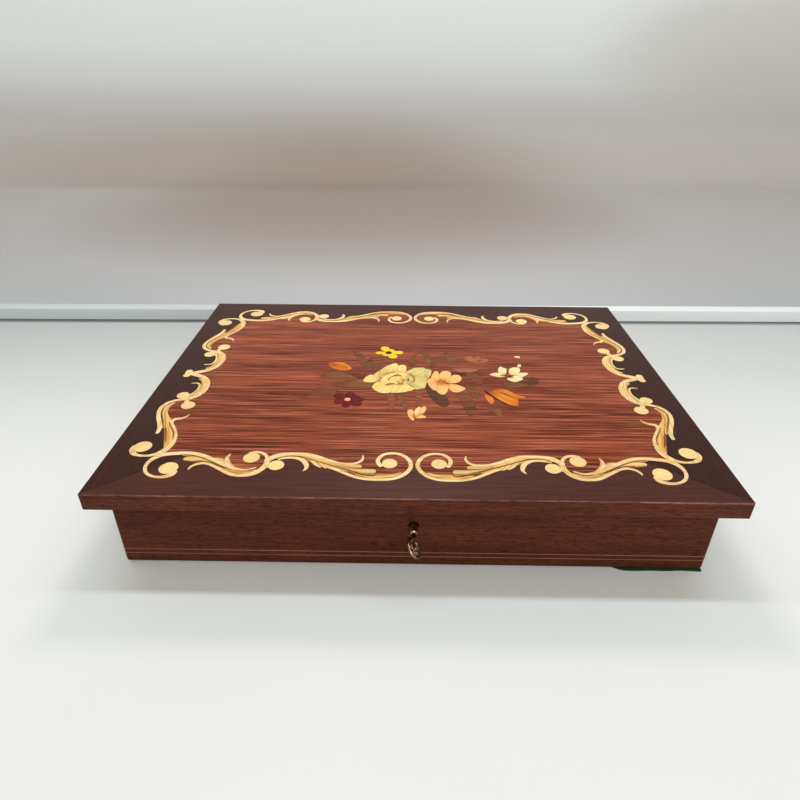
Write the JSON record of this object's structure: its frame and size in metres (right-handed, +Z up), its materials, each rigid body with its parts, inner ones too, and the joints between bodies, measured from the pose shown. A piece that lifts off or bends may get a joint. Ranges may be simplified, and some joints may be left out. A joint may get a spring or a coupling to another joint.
{
  "type": "inlaid wooden box",
  "caption": "Low rectangular wooden box with an overhanging inlaid hinged lid, a mortised lock in the front wall and its key, on a felt base.",
  "frame": {"origin": "centre of the case footprint, on the underside of the base felt", "axes": "+Z up, -Y towards the keyhole and the front, +X to the right as seen from the front, along the lid's long side"},
  "size_m": [0.42, 0.3395, 0.069],
  "materials": {
    "wall_wood": "reddish mahogany, satin lacquer",
    "edge_wood": "reddish mahogany lipping, satin lacquer",
    "board_wood": "plain plywood, raw",
    "border_veneer": "dark purplish brown veneer, lacquered",
    "field_veneer": "red-brown streaked veneer, lacquered",
    "scroll_veneer": "pale yellow veneer, sand shaded, lacquered",
    "line_wood": "tan stringing, lacquered",
    "cream_veneer": "cream veneer, lacquered",
    "yellow_veneer": "dyed yellow veneer, lacquered",
    "orange_veneer": "dyed orange veneer, lacquered",
    "crimson_veneer": "dyed dark crimson veneer, lacquered",
    "peach_veneer": "peach veneer, lacquered",
    "white_veneer": "white veneer, lacquered",
    "brass": "aged, satin",
    "steel": "plain, dull",
    "green_felt": "green felt"
  },
  "bodies": {
    "case": {"back_wall": "wall_wood", "base_felt": "green_felt", "bottom_panel": "board_wood", "case_screw_left_inner": "brass", "case_screw_left_outer": "brass", "case_screw_right_inner": "brass", "case_screw_right_outer": "brass", "floor_lining": "green_felt", "front_wall": "wall_wood", "hinge_case_leaf_left": "brass", "hinge_case_leaf_right": "brass", "hinge_pin_left": "steel", "hinge_pin_right": "steel", "left_wall": "wall_wood", "lock_cap": "brass", "lock_plate": "brass", "lock_screw_left": "brass", "lock_screw_right": "brass", "lock_spring": "steel", "lower_line_back": "line_wood", "lower_line_front": "line_wood", "lower_line_left": "line_wood", "lower_line_right": "line_wood", "right_wall": "wall_wood", "upper_line_back": "line_wood", "upper_line_front": "line_wood", "upper_line_left": "line_wood", "upper_line_right": "line_wood"},
    "lid": {"border_veneer": "border_veneer", "counter_veneer": "wall_wood", "crimson_flower": "crimson_veneer", "field_veneer": "field_veneer", "hinge_lid_leaf_left": "brass", "hinge_lid_leaf_right": "brass", "lid_board": "board_wood", "lid_edge_back": "edge_wood", "lid_edge_front": "edge_wood", "lid_edge_left": "edge_wood", "lid_edge_right": "edge_wood", "lid_screw_left_inner": "brass", "lid_screw_left_outer": "brass", "lid_screw_right_inner": "brass", "lid_screw_right_outer": "brass", "orange_bud": "orange_veneer", "orange_lily": "orange_veneer", "peach_bud": "peach_veneer", "peach_flower": "peach_veneer", "rose": "cream_veneer", "scroll_back": "scroll_veneer", "scroll_front": "scroll_veneer", "scroll_left": "scroll_veneer", "scroll_right": "scroll_veneer", "strike_plate": "brass", "strike_screw_left": "brass", "strike_screw_right": "brass", "white_flower": "white_veneer", "yellow_flower": "yellow_veneer"},
    "lock_bolt": {"lock_bolt": "steel"},
    "drill_pin": {"drill_pin": "steel"},
    "key": {"key": "brass"}
  },
  "joints": [
    {"name": "lid_hinge", "type": "hinge", "parent": "case", "child": "lid", "pos_m": [0, 0.153, 0.05635], "axis": [-1, 0, 0], "range_deg": [0, 105]},
    {"name": "key_turn", "type": "hinge", "parent": "case", "child": "drill_pin", "pos_m": [0, -0.14, 0.0374], "axis": [0, 1, 0], "range_deg": [0, 360]},
    {"name": "key_withdraw", "type": "slide", "parent": "drill_pin", "child": "key", "axis": [0, -1, 0], "range_m": [0, 0.03]},
    {"name": "bolt_slide", "type": "slide", "parent": "case", "child": "lock_bolt", "axis": [1, 0, 0], "range_m": [0, 0.005]}
  ],
  "couplings": [
    {"joint": "key_turn", "follows": "bolt_slide", "rad_per_m": 1256.6}
  ]
}
